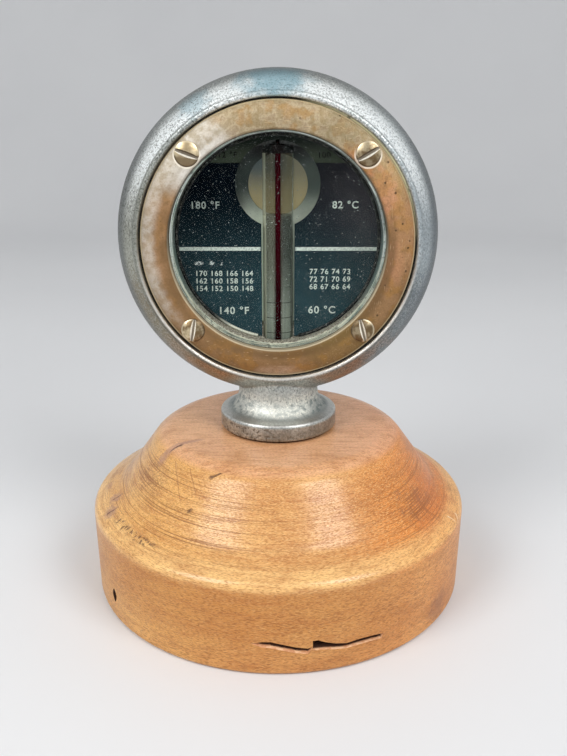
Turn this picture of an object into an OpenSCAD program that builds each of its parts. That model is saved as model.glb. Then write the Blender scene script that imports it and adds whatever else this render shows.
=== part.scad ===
// Radiator cap thermometer on a turned wooden base.
// The glass tube stands on the Z axis and the dial faces -Y. The origin is on the table, under the axis.

/* [Wooden base] */
// Height of the turned base
base_h = 44; // [42:0.5:60]
// Largest diameter, at the shoulder edge
base_d = 104.4; // [98:0.2:120]
// Diameter where the side wall meets the table
base_bottom_d = 103.8; // [96:0.2:120]
// Diameter of the corner between the flat top and the cove
base_top_d = 65.6; // [58:0.2:76]
// Diameter at the bottom of the cove
cove_d = 88.2; // [84:0.2:93]
// Drop from the top to the bottom of the cove
cove_drop = 15.7; // [12:0.1:17]
// Drop from the top to the shoulder edge
shoulder_drop = 19.7; // [18.6:0.1:26]
// Rounding of the top edge
top_round = 8; // [2:0.5:9]
// Rounding of the cove
cove_round = 8.4; // [4:0.2:12]
// Rounding of the shoulder edge
shoulder_round = 2.6; // [0.5:0.1:3.5]
// Rounding of the bottom edge
bottom_round = 1.2; // [0.4:0.1:3]
// Thickness of wood between the foot and the clamping washer
clamped_wood = 20; // [16:0.5:21]
// Diameter of the recess that hides the nut
nut_recess_d = 30; // [27:0.5:40]

/* [Case] */
// How far the round case swells beyond its lip
case_swell = 5.6; // [4:0.1:8]
// Depth of the case from front lip to rear lip
case_depth = 24; // [23:0.2:30]
// Width of the beaded lip around the bezel
lip_w = 1.4; // [0.8:0.1:2]
// Height from the underside of the foot to the round case
neck_h = 9.7; // [8:0.1:16]
// Diameter of the foot
foot_d = 32; // [28:0.5:40]
// Height of the foot's rim
foot_rim_h = 4.4; // [3:0.1:5]
// Diameter of the neck
neck_d = 21.8; // [19:0.2:23]
// Radius of the flare between foot and neck
flare_round = 5.2; // [2:0.1:5.6]
// Rise of the foot's top from its rim to the neck
flare_rise = 1.2; // [0.4:0.1:2]
// Rounding of the foot's rim
rim_round = 0.8; // [0.2:0.1:1.2]
// Width of the central rib that carries the dials
rib_w = 2.8; // [1:0.1:3.4]

/* [Bezel and glass] */
// Diameter of the window
window_d = 54; // [46:0.5:64]
// Width of the bezel from the window to its outer edge
bezel_w = 7; // [6.5:0.1:9]
// Thickness of the bezel at its crown
bezel_t = 3; // [2.6:0.1:3.6]
// Thickness of the bezel at its outer edge
bezel_edge_t = 1.4; // [0.8:0.1:2]
// Distance of the crown from the window edge
bezel_crown_in = 2; // [1.4:0.1:3]
// Chamfer at the window edge
window_chamfer = 0.6; // [0.2:0.1:1.2]
// Depth of the bezel's seat below the lip
bezel_sink = 1.8; // [1:0.1:2.4]
// Overlap of the glass behind the bezel
glass_lap = 1.2; // [0.8:0.05:1.4]
// Thickness of the glass
glass_t = 2.2; // [1.6:0.1:3]
// Thickness of the glass gasket
gasket_t = 0.8; // [0.4:0.1:1.4]
// Width of the case ledge behind the gasket
ledge_w = 0.6; // [0.4:0.1:1.6]

/* [Bezel screws] */
// Diameter of the screw shank
screw_d = 2.8; // [2.2:0.1:3]
// Diameter of the screw head
screw_head_d = 6; // [5.2:0.1:6.4]
// Depth of the head's rim below the bezel's crown
screw_flush = 0.15; // [0.1:0.05:0.4]
// Height of the domed part of the head
screw_dome = 0.9; // [0.5:0.1:1.2]
// Thread length in the case
screw_grip = 6; // [4:0.5:8]
// Width of the driver slot
slot_w = 0.9; // [0.6:0.1:1.2]
// Depth of the driver slot
slot_depth = 1; // [0.6:0.1:1.4]

/* [Dials] */
// Thickness of a dial plate
dial_t = 0.8; // [0.5:0.1:1.2]
// Diameter of the sight hole in the front dial
sight_d = 21.6; // [16:0.2:23]
// Dial left above the sight hole
sight_edge = 1.6; // [0.5:0.05:3]
// Diameter of the hole in the rear dial
rear_sight_d = 15.6; // [12:0.2:18]
// How much lower the rear hole sits than the front one
rear_sight_lower = 0.5; // [0:0.1:3]
// Overlap of the pale window on the rear dial
sight_window_lap = 1.2; // [0.6:0.1:2]
// Thickness of the pale window
sight_window_t = 1; // [0.6:0.1:1.6]
// Wire diameter of the rings that hold the dials
clip_wire_d = 0.9; // [0.6:0.1:1.2]
// Half of the opening in those rings, in degrees
clip_open = 12; // [11:1:30]
// How far that wire reaches into its groove
clip_bite = 0.1; // [0.05:0.05:0.3]

/* [Glass tube] */
// Width of the tube
tube_w = 8; // [7.4:0.1:8.4]
// Front-to-back thickness of the tube
tube_t = 6.4; // [5.6:0.1:6.8]
// Diameter of the round tube in the neck and stem
tube_round_d = 7; // [6.4:0.1:7.2]
// Distance of the tube's shoulder from the rib above it
tube_top_gap = 2.2; // [1.6:0.1:3]
// Diameter of the drawn tip
tip_d = 4; // [3:0.1:5]
// Length of the drawn tip
tip_l = 4; // [3.6:0.1:5]
// How far the tube stands out in front of the dial
tube_proud = 0.2; // [0:0.05:0.5]
// Diameter of the spirit column
column_d = 1.4; // [1:0.1:2]
// Length of the spirit column hidden below the case floor
column_hidden = 1.2; // [1:0.1:3]
// How far the column stops short of the tube's shoulder
column_short = 0.2; // [0:0.1:2]
// Fall of the spirit column from warm to cold
column_travel = 45; // [30:1:47]
// Diameter of the bulb's cavity
bulb_cavity_d = 5.2; // [4:0.1:5.6]
// Glass left below the bulb's cavity
bulb_wall = 1.2; // [0.8:0.1:2]
// Room between the bulb and the end of its guard
bulb_room = 1; // [0.5:0.1:1.6]
// Depth of the packing's top below the case floor
packing_drop = 2.8; // [2:0.1:5]
// Height of the packing around the tube in the neck
packing_h = 4; // [2:0.5:6]

/* [Stem and clamp] */
// Diameter of the threaded stem
stem_d = 12.7; // [11.6:0.1:14]
// Depth of the stem's socket in the foot
socket_depth = 9; // [6:0.5:10]
// Stem left below the nut
stem_spare = 2; // [1:0.5:3]
// Thickness of the leather washer under the foot
foot_washer_t = 0.6; // [0.4:0.1:1.2]
// How far the leather washer stays inside the foot
foot_washer_in = 1; // [0.5:0.1:2]
// Thickness of the flat washer
washer_t = 1.6; // [1:0.1:2]
// Diameter of the flat washer
washer_d = 24; // [22:0.5:26]
// Thickness of the spring washer
lock_t = 1.6; // [1:0.1:2]
// Radial width of the spring washer
lock_w = 3.6; // [2.5:0.1:4]
// Width of the cut in the spring washer
lock_cut = 1; // [0.5:0.1:2]
// Height of the nut
nut_h = 6.5; // [5:0.5:7]
// Width of the nut across its flats
nut_af = 19; // [18:0.5:20]
// Height of the nut's chamfer
nut_chamfer = 1.2; // [0.6:0.1:1.6]
// Length of the bulb guard below the stem
guard_l = 7; // [5:0.5:7.5]
// Length of the bulb guard inside the stem
guard_grip = 5; // [3:0.5:8]
// Wall of the bulb guard
guard_wall = 0.5; // [0.3:0.05:0.6]
// Diameter of the steam holes in the bulb guard
guard_hole_d = 1.8; // [1:0.1:2.4]

/* [Clearances] */
// Between pieces that are screwed or pushed together
fit_gap = 0.05; // [0.02:0.01:0.1]
// Around the bezel in its recess
bezel_gap = 0.5; // [0.2:0.05:0.6]
// Around the spirit column in its capillary
run_gap = 0.08; // [0.05:0.01:0.1]
// Around pieces that drop in loosely
drop_gap = 0.25; // [0.1:0.05:0.3]

/* [Hidden] */
$fn = 96;
over = 1;
arc_steps = 8;

// Heights along Z
foot_z = base_h + foot_washer_t;
rim_z = foot_z + foot_rim_h;
washer_z = base_h - clamped_wood - washer_t;
lock_z = washer_z - lock_t;
nut_z = lock_z - nut_h;
stem_z = nut_z - stem_spare;
stem_top_z = foot_z + socket_depth - fit_gap;
guard_z = stem_z - guard_l;

// Radii of the case, its seats and what lies in them
half_depth = case_depth / 2;
window_r = window_d / 2;
bezel_r = window_r + bezel_w;
recess_r = bezel_r + bezel_gap;
case_r = recess_r + lip_w + case_swell;
case_crown_r = (case_swell * case_swell + half_depth * half_depth) / (2 * case_swell);
centre_z = foot_z + neck_h + case_r;
neck_top_z = foot_z + neck_h + case_swell + lip_w / 2;
glass_r = window_r + glass_lap;
glass_seat_r = glass_r + drop_gap / 2;
bore_r = window_r - ledge_w;
rib_r = bore_r - rib_w;
dial_r = bore_r - drop_gap;
sight_rise = dial_r - sight_edge - sight_d / 2;
flare_r = min(flare_round, 1.1 * (foot_d - neck_d) / 2);

// Distances from the middle of the case, forward positive
seat_h = half_depth - bezel_sink;
glass_h = seat_h - glass_t;
ledge_h = glass_h - gasket_t;
front_dial_h = tube_t / 2 - tube_proud - dial_t;
rear_dial_h = tube_t / 2 + 2 * drop_gap;

// Bezel section
bezel_crown_r = window_r + bezel_crown_in;
bezel_drop = bezel_t - bezel_edge_t;
bezel_reach = bezel_r - bezel_crown_r;
bezel_curve_r = (bezel_reach * bezel_reach + bezel_drop * bezel_drop) / (2 * bezel_drop);
window_edge_h = seat_h + bezel_t - bezel_curve_r + sqrt(pow(bezel_curve_r, 2) - pow(bezel_crown_in, 2));

// Bezel screws: four round the dial, each slot at its own angle
screw_ring_r = (window_r + bezel_r) / 2;
screw_r = screw_d / 2;
screw_head_r = screw_head_d / 2;
screw_face_h = seat_h + bezel_t - screw_flush;
sink_depth = screw_head_r - screw_r;
screw_slots = [30, -20, 80, 105];
dome_r = (screw_head_r * screw_head_r + screw_dome * screw_dome) / (2 * screw_dome);

// Tube and spirit
tube_top_z = centre_z + rib_r - tube_top_gap;
tip_top_z = tube_top_z + tip_l;
rib_chord_z = centre_z + sqrt(pow(rib_r, 2) - pow(tube_w / 2, 2));
tube_round_r = tube_round_d / 2;
neck_bore_r = tube_w / 2 + 2 * drop_gap;
tube_shoulder_z = centre_z - bore_r - packing_drop;
tube_end_z = guard_z + guard_wall + bulb_room;
column_r = column_d / 2;
capillary_r = column_r + run_gap;
column_top_z = tube_top_z - column_short;
column_low_z = centre_z - bore_r - column_hidden;
capillary_low_z = column_low_z - column_travel - 2 * drop_gap;
cavity_r = bulb_cavity_d / 2;
cavity_z = tube_end_z + bulb_wall;

// Stem, guard and clamp
stem_r = stem_d / 2;
stem_bore_r = tube_round_r + drop_gap + guard_wall + fit_gap;
guard_r = stem_bore_r - fit_gap;
clip_r = clip_wire_d / 2;
clip_ring_r = bore_r - clip_r + clip_bite;
clip_groove_r = bore_r + clip_bite + fit_gap;

// Points of an arc of radius r that rounds the corner b between a and c
function unit(v) = v / norm(v);
function corner(a, b, c, r) =
    let (u = unit(a - b), w = unit(c - b), half = acos(u * w) / 2,
         middle = b + unit(u + w) * r / sin(half), from = b + u * r / tan(half) - middle,
         to = b + w * r / tan(half) - middle, sweep = 180 - 2 * half)
    [for (i = [0 : arc_steps])
        middle + (sin(sweep * (1 - i / arc_steps)) * from + sin(sweep * i / arc_steps) * to) / sin(sweep)];

// An outline whose corners are given as [point, radius], with radius 0 for a sharp one
function rounded(corners) =
    let (n = len(corners))
    [for (i = [0 : n - 1])
        each corners[i][1] == 0 ? [corners[i][0]]
            : corner(corners[(i + n - 1) % n][0], corners[i][0], corners[(i + 1) % n][0], corners[i][1])];

// Places its children on the dial's axis, local Z forward and local Y up
module on_axis() translate([0, 0, centre_z]) rotate([90, 0, 0]) children();

// The same piece on the far side of the case
module at_rear() mirror([0, 1, 0]) children();

module ring(inner_r, outer_r, low, high)
    rotate_extrude() translate([inner_r, low]) square([outer_r - inner_r, high - low]);

module upright(r, low, high) translate([0, 0, low]) cylinder(r = r, h = high - low);

module screw_places() for (i = [0 : 3]) rotate(45 + 90 * i) translate([screw_ring_r, 0, 0]) children();

module wood_base() color("peru") difference() {
    rotate_extrude() polygon(rounded([
        [[0, 0], 0],
        [[base_bottom_d / 2, 0], bottom_round],
        [[base_d / 2, base_h - shoulder_drop], shoulder_round],
        [[cove_d / 2, base_h - cove_drop], cove_round],
        [[base_top_d / 2, base_h], top_round],
        [[0, base_h], 0]]));
    upright(stem_r + drop_gap, -over, base_h + over);
    upright(nut_recess_d / 2, -over, base_h - clamped_wood);
}

module case_body() {
    on_axis() rotate_extrude() intersection() {
        translate([case_r - case_crown_r, 0]) circle(r = case_crown_r);
        translate([rib_r, -half_depth]) square([case_r, case_depth]);
    }
    on_axis() rotate_extrude() for (side = [-1, 1])
        translate([recess_r + lip_w / 2, side * half_depth]) circle(d = lip_w);
    rotate_extrude() polygon(rounded([
        [[0, foot_z], 0],
        [[foot_d / 2, foot_z], rim_round / 2],
        [[foot_d / 2, rim_z], rim_round],
        [[neck_d / 2, rim_z + flare_rise], flare_r],
        [[neck_d / 2, neck_top_z], 0],
        [[0, neck_top_z], 0]]));
}

// Steps in the case's bore on one side: dial seat, clip groove, glass seat and bezel seat
module case_seats(dial_h) {
    ring(0, bore_r, dial_h, ledge_h);
    ring(0, clip_groove_r, dial_h + dial_t, dial_h + dial_t + clip_wire_d + 2 * fit_gap);
    ring(0, glass_seat_r, ledge_h, seat_h);
    ring(0, recess_r, seat_h, half_depth + over);
    screw_places() translate([0, 0, seat_h - screw_grip - drop_gap])
        cylinder(r = screw_r + fit_gap, h = screw_grip + over);
}

module meter_case() color("silver") difference() {
    case_body();
    on_axis() ring(0, rib_r, -half_depth, half_depth);
    on_axis() case_seats(front_dial_h);
    at_rear() on_axis() case_seats(rear_dial_h);
    upright(neck_bore_r, foot_z - over, centre_z - rib_r + over);
    upright(stem_r + fit_gap, foot_z - over, foot_z + socket_depth);
    upright(tip_d / 2 + drop_gap, centre_z, tip_top_z + drop_gap);
}

module bezel() difference() {
    on_axis() rotate_extrude() intersection() {
        translate([bezel_crown_r, seat_h + bezel_t - bezel_curve_r]) circle(r = bezel_curve_r);
        translate([window_r, seat_h]) square([bezel_r - window_r, bezel_t]);
    }
    on_axis() translate([0, 0, window_edge_h - window_chamfer])
        cylinder(r1 = window_r, r2 = window_r + 2 * window_chamfer, h = 2 * window_chamfer);
    on_axis() screw_places() {
        translate([0, 0, seat_h - over]) cylinder(r = screw_r + fit_gap, h = bezel_t + 2 * over);
        translate([0, 0, screw_face_h - sink_depth])
            cylinder(r1 = screw_r + fit_gap, r2 = screw_head_r + fit_gap, h = sink_depth);
        translate([0, 0, screw_face_h]) cylinder(r = screw_head_r + fit_gap, h = bezel_t);
    }
}

module front_bezel() color("darkgoldenrod") bezel();

module rear_bezel() color("darkgoldenrod") at_rear() bezel();

// One oval-headed screw with its face at local Z 0 and its slot at an angle to local X
module bezel_screw(slot_angle) difference() {
    union() {
        translate([0, 0, seat_h - screw_grip - screw_face_h])
            cylinder(r = screw_r, h = screw_grip + bezel_t / 2);
        translate([0, 0, -sink_depth]) cylinder(r1 = screw_r, r2 = screw_head_r, h = sink_depth);
        intersection() {
            translate([0, 0, screw_dome - dome_r]) sphere(r = dome_r);
            cylinder(r = screw_head_r, h = 2 * screw_dome);
        }
    }
    rotate(slot_angle) translate([-screw_head_d, -slot_w / 2, screw_dome - slot_depth])
        cube([2 * screw_head_d, slot_w, 2 * slot_depth]);
}

module bezel_screws() on_axis() for (i = [0 : 3])
    rotate(45 + 90 * i) translate([screw_ring_r, 0, screw_face_h]) bezel_screw(screw_slots[i] - 45 - 90 * i);

module front_bezel_screws() color("goldenrod") bezel_screws();

module rear_bezel_screws() color("goldenrod") at_rear() bezel_screws();

module glass() on_axis() ring(0, glass_r, glass_h, seat_h);

module front_glass() color("lightcyan", 0.3) glass();

module rear_glass() color("lightcyan", 0.3) at_rear() glass();

module gasket() on_axis() ring(bore_r + drop_gap, glass_r, ledge_h, glass_h);

module front_gasket() color("lightgray") gasket();

module rear_gasket() color("lightgray") at_rear() gasket();

module front_dial() color("darkslategray") on_axis() difference() {
    ring(0, dial_r, front_dial_h, front_dial_h + dial_t);
    translate([0, sight_rise, front_dial_h - over]) cylinder(d = sight_d, h = dial_t + 2 * over);
    translate([-tube_w / 2 - drop_gap, -dial_r - over, front_dial_h - over])
        cube([tube_w + 2 * drop_gap, dial_r + over + sight_rise, dial_t + 2 * over]);
}

module rear_dial() color("darkslategray") at_rear() on_axis() difference() {
    ring(0, dial_r, rear_dial_h, rear_dial_h + dial_t);
    translate([0, sight_rise - rear_sight_lower, rear_dial_h - over])
        cylinder(d = rear_sight_d, h = dial_t + 2 * over);
}

module dial_clip(dial_h) on_axis() rotate(clip_open - 90)
    translate([0, 0, dial_h + dial_t + clip_r + fit_gap])
    rotate_extrude(angle = 360 - 2 * clip_open) translate([clip_ring_r, 0]) circle(r = clip_r, $fn = 32);

module front_dial_clip() color("gainsboro") dial_clip(front_dial_h);

module rear_dial_clip() color("gainsboro") at_rear() dial_clip(rear_dial_h);

module sight_window() color("khaki") at_rear() on_axis()
    translate([0, sight_rise - rear_sight_lower, rear_dial_h + dial_t])
    cylinder(d = rear_sight_d + 2 * sight_window_lap, h = sight_window_t);

// Section of the broad tube: two rounds joined by straight sides
module tube_section() {
    for (side = [-1, 1]) translate([side * (tube_w - tube_t) / 2, 0]) circle(d = tube_t);
    translate([-(tube_w - tube_t) / 2, -tube_t / 2]) square([tube_w - tube_t, tube_t]);
}

module thermometer_tube() color("azure", 0.4) difference() {
    union() {
        translate([0, 0, tube_shoulder_z]) linear_extrude(tube_top_z - tube_shoulder_z) tube_section();
        upright(tip_d / 2, tube_top_z - over, tip_top_z - tip_d / 2);
        translate([0, 0, tip_top_z - tip_d / 2]) sphere(d = tip_d);
        upright(tube_round_r, tube_end_z + tube_round_r, tube_shoulder_z + over);
        translate([0, 0, tube_end_z + tube_round_r]) sphere(r = tube_round_r);
    }
    upright(capillary_r, capillary_low_z - over, tip_top_z - tip_d / 4);
    upright(cavity_r, cavity_z + cavity_r, capillary_low_z);
    translate([0, 0, cavity_z + cavity_r]) sphere(r = cavity_r);
}

module spirit_column() color("darkred") upright(column_r, column_low_z, column_top_z);

module bulb_spirit() color("darkred") {
    upright(cavity_r - fit_gap, cavity_z + cavity_r, capillary_low_z - fit_gap);
    translate([0, 0, cavity_z + cavity_r]) sphere(r = cavity_r - fit_gap);
}

module tip_cushion() color("dimgray") difference() {
    translate([0, 0, tube_top_z])
        linear_extrude(rib_chord_z - tube_top_z - fit_gap) tube_section();
    upright(tip_d / 2 + fit_gap, tube_top_z - over, tip_top_z + over);
}

module tube_packing() color("burlywood")
    ring(tube_round_r + fit_gap, neck_bore_r - fit_gap, tube_shoulder_z - packing_h, tube_shoulder_z);

module stem() color("goldenrod") difference() {
    upright(stem_r, stem_z, stem_top_z);
    upright(stem_bore_r, stem_z - over, stem_top_z + over);
}

module bulb_guard() color("goldenrod") difference() {
    upright(guard_r, guard_z, stem_z + guard_grip);
    upright(guard_r - guard_wall, guard_z + guard_wall, stem_z + guard_grip + over);
    upright(guard_hole_d / 2, guard_z - over, guard_z + over);
    for (turn = [0 : 60 : 120], row = [1, 2])
        translate([0, 0, guard_z + guard_l * row / 3]) rotate([90, 0, turn + 30 * row])
            cylinder(d = guard_hole_d, h = 4 * guard_r, center = true);
}

module foot_washer() color("saddlebrown")
    ring(stem_r + drop_gap, foot_d / 2 - foot_washer_in, base_h, foot_z);

module clamp_washer() color("lightsteelblue")
    ring(stem_r + drop_gap, washer_d / 2, washer_z, washer_z + washer_t);

module lock_washer() color("slategray") difference() {
    ring(stem_r + drop_gap, stem_r + drop_gap + lock_w, lock_z, washer_z);
    translate([stem_r, 0, lock_z + lock_t / 2]) rotate([30, 0, 0])
        cube([4 * lock_w, lock_cut, 4 * lock_t], center = true);
}

module clamp_nut() color("lightsteelblue") difference() {
    intersection() {
        translate([0, 0, nut_z]) cylinder(d = nut_af / cos(30), h = nut_h, $fn = 6);
        rotate_extrude() polygon([
            [0, nut_z],
            [nut_af / 2 - fit_gap, nut_z],
            [nut_af / 2 + 2 * nut_chamfer, nut_z + nut_chamfer],
            [nut_af / 2 + 2 * nut_chamfer, lock_z - nut_chamfer],
            [nut_af / 2 - fit_gap, lock_z],
            [0, lock_z]]);
    }
    upright(stem_r + fit_gap, nut_z - over, lock_z + over);
}

wood_base();
meter_case();
front_bezel();
rear_bezel();
front_bezel_screws();
rear_bezel_screws();
front_glass();
rear_glass();
front_gasket();
rear_gasket();
front_dial();
rear_dial();
front_dial_clip();
rear_dial_clip();
sight_window();
thermometer_tube();
spirit_column();
bulb_spirit();
tip_cushion();
tube_packing();
stem();
bulb_guard();
foot_washer();
clamp_washer();
lock_washer();
clamp_nut();
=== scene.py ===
"""A radiator cap thermometer on a turned wooden base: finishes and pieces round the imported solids."""
import math

import bpy
from mathutils import Matrix, Vector


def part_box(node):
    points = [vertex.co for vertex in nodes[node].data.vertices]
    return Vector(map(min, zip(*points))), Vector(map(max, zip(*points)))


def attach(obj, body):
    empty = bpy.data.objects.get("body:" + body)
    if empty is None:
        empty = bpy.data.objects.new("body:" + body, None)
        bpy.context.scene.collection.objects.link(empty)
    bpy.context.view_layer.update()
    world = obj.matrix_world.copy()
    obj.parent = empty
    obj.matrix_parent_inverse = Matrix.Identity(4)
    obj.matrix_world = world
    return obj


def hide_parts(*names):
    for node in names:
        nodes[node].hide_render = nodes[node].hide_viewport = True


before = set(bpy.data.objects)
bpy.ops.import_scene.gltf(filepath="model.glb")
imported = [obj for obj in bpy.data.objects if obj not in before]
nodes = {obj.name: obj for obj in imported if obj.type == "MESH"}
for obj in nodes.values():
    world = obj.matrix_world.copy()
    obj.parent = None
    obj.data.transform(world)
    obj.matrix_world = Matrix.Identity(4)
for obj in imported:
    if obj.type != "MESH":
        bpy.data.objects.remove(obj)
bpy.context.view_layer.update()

MM = 0.001


def box_mm(node):
    """Lowest and highest corner of a solid, in millimetres."""
    return [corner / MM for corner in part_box(node)]


# Sizes in millimetres that the solids give
BASE_R = box_mm("wood_base")[1].x
BASE_H = box_mm("wood_base")[1].z
FOOT_Z = box_mm("meter_case")[0].z
BEZEL_LOW, BEZEL_HIGH = box_mm("front_bezel")
BEZEL_R = BEZEL_HIGH.x
BEZEL_SEAT = -BEZEL_HIGH.y
BEZEL_CROWN = -BEZEL_LOW.y
CENTRE_Z = (BEZEL_LOW.z + BEZEL_HIGH.z) / 2
DIAL_FACE = box_mm("front_dial")[0].y
DIAL_R = box_mm("front_dial")[1].x
REAR_DIAL_FACE = box_mm("rear_dial")[0].y
SIGHT_LOW, SIGHT_HIGH = box_mm("sight_window")
TUBE_R = box_mm("thermometer_tube")[1].x
TUBE_TOP = box_mm("tip_cushion")[0].z
COLUMN_R = box_mm("spirit_column")[1].x
STEM_R = box_mm("stem")[1].x
WASHER_Z = box_mm("clamp_washer")[1].z

# Sizes of the turned base
BASE_BOTTOM_R = 51.9
BASE_TOP_R = 32.8
COVE_R = 44.1
COVE_Z = BASE_H - 15.7
SHOULDER_R = 52.2
SHOULDER_Z = BASE_H - 19.7
NUT_RECESS_R = 15
STEM_GAP = 0.25
BORE_ROUND = 0.3
TOP_ROUND = 8
COVE_ROUND = 8.4
SHOULDER_ROUND = 2.6
BOTTOM_ROUND = 1.2
RECESS_ROUND = 0.5
SPLIT_OVER = 0.6

# Sizes of the bezel and its screws
WINDOW_R = 27
CROWN_R = 29
BEZEL_EDGE = 1.4
WINDOW_CHAMFER = 0.6
WALL_ROUND = 0.1
CHAMFER_ROUND = 0.2
EDGE_ROUND = 0.15
GROOVE_W = 0.5
POLISH_GAP = 0.02
POLISH_SUNK = 0.35
POLISH_SLOPE = 0.1
POLISH_ROUND = 0.08
LIP_R = BEZEL_R + 1.9
SCREW_RING_R = (WINDOW_R + BEZEL_R) / 2
SCREW_RISE = SCREW_RING_R * math.sqrt(0.5)
SCREW_R = 1.4
SCREW_HEAD_R = 3
SCREW_DOME = 0.9
SCREW_FACE = BEZEL_CROWN - 0.15
SCREW_END = BEZEL_SEAT - 6
SCREW_POINT = 0.3
SCREW_RIM = 0.12
SINK_GAP = 0.06
SLOT_W = 1.35
SLOT_FLOOR_W = 0.4
SLOT_BEVEL = 0.08
SLOT_DEEP = 1.0
SLOT_FLOOR = SCREW_FACE + SCREW_DOME - SLOT_DEEP
SLOT_TURNS = (30, -20, 80, 105)

# How far the cutters for sinks and slots stand out of the metal, in front and behind
CUT_OVER = 2
CUT_BEHIND = 1

# Steps round the turned pieces, and across the bezel and a screw's head
BASE_STEPS = 256
RING_STEPS = 192
SCREW_STEPS = 64
SINK_STEPS = 48
FLOOR_STEPS = 96
CROWN_STEPS = 12
DOME_STEPS = 8

# Corners this close are joined, in mm; flatter edges than the first angle look smooth, sharper than the
# second are softened
SEAM = 0.002
SMOOTH_ANGLE = 35
SOFT_ANGLE = 50

# Print on the dial: share of the type's size that a number fills, ink, and the bars
NUMBER_SHARE = 0.7
NUMBER_GAP = 1.15
INK_THICK = 0.012
INK_SPREAD = 0.027
BAR_RISE = -2.45
BAR_THICK = 0.95
BAR_RAISED = 0.02
BAR_MARGIN = 0.3
BAR_GAP = 0.5

# Studio, in millimetres, degrees and watts; lamps by their turn from the front and their rise
FLOOR_R = 1100
FLOOR_BEND = 400
BACKDROP_H = 1300
LAMPS = (("left_lamp", -47, 38), ("right_lamp", 43, 39))
LAMP_WIDE = 300
LAMP_HIGH = 420
LAMP_AWAY = 700
LAMP_AIM_Z = 70
LAMP_POWER = 2.4
SKY_POWER = 0.55
CAMERA_PLACE = (1.44, -203.27, 125.01)
CAMERA_DOWN = 18.47
CAMERA_LENS = 36.79
CAMERA_SENSOR = 36
CAMERA_NEAR = 10

# Chips along the base's shoulder, as angles round from the front
CHIP_R = 48.2
CHIP_START = math.radians(-64)
CHIP_END = math.radians(-42)

# The lower end of the window's light on the tube, and marks across the tube below
SIGHT_EDGE_Z = CENTRE_Z + 5.9
MARK_STEP = 4.1
MARK_START = 75.0 - MARK_STEP / 2
MARKS_TOP = 81


class Socket:
    """An output of a node in a finish. Sums on it add Math nodes."""

    def __init__(self, finish, link):
        self.finish = finish
        self.link = link

    def __add__(self, other):
        return self.finish.maths("ADD", self, other)

    __radd__ = __add__

    def __sub__(self, other):
        return self.finish.maths("SUBTRACT", self, other)

    def __rsub__(self, other):
        return self.finish.maths("SUBTRACT", other, self)

    def __mul__(self, other):
        return self.finish.maths("MULTIPLY", self, other)

    __rmul__ = __mul__

    def __truediv__(self, other):
        return self.finish.maths("DIVIDE", self, other)

    def __abs__(self):
        return self.finish.maths("ABSOLUTE", self)

    def __or__(self, other):
        return self.finish.maths("MAXIMUM", self, other)

    __ror__ = __or__


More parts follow.
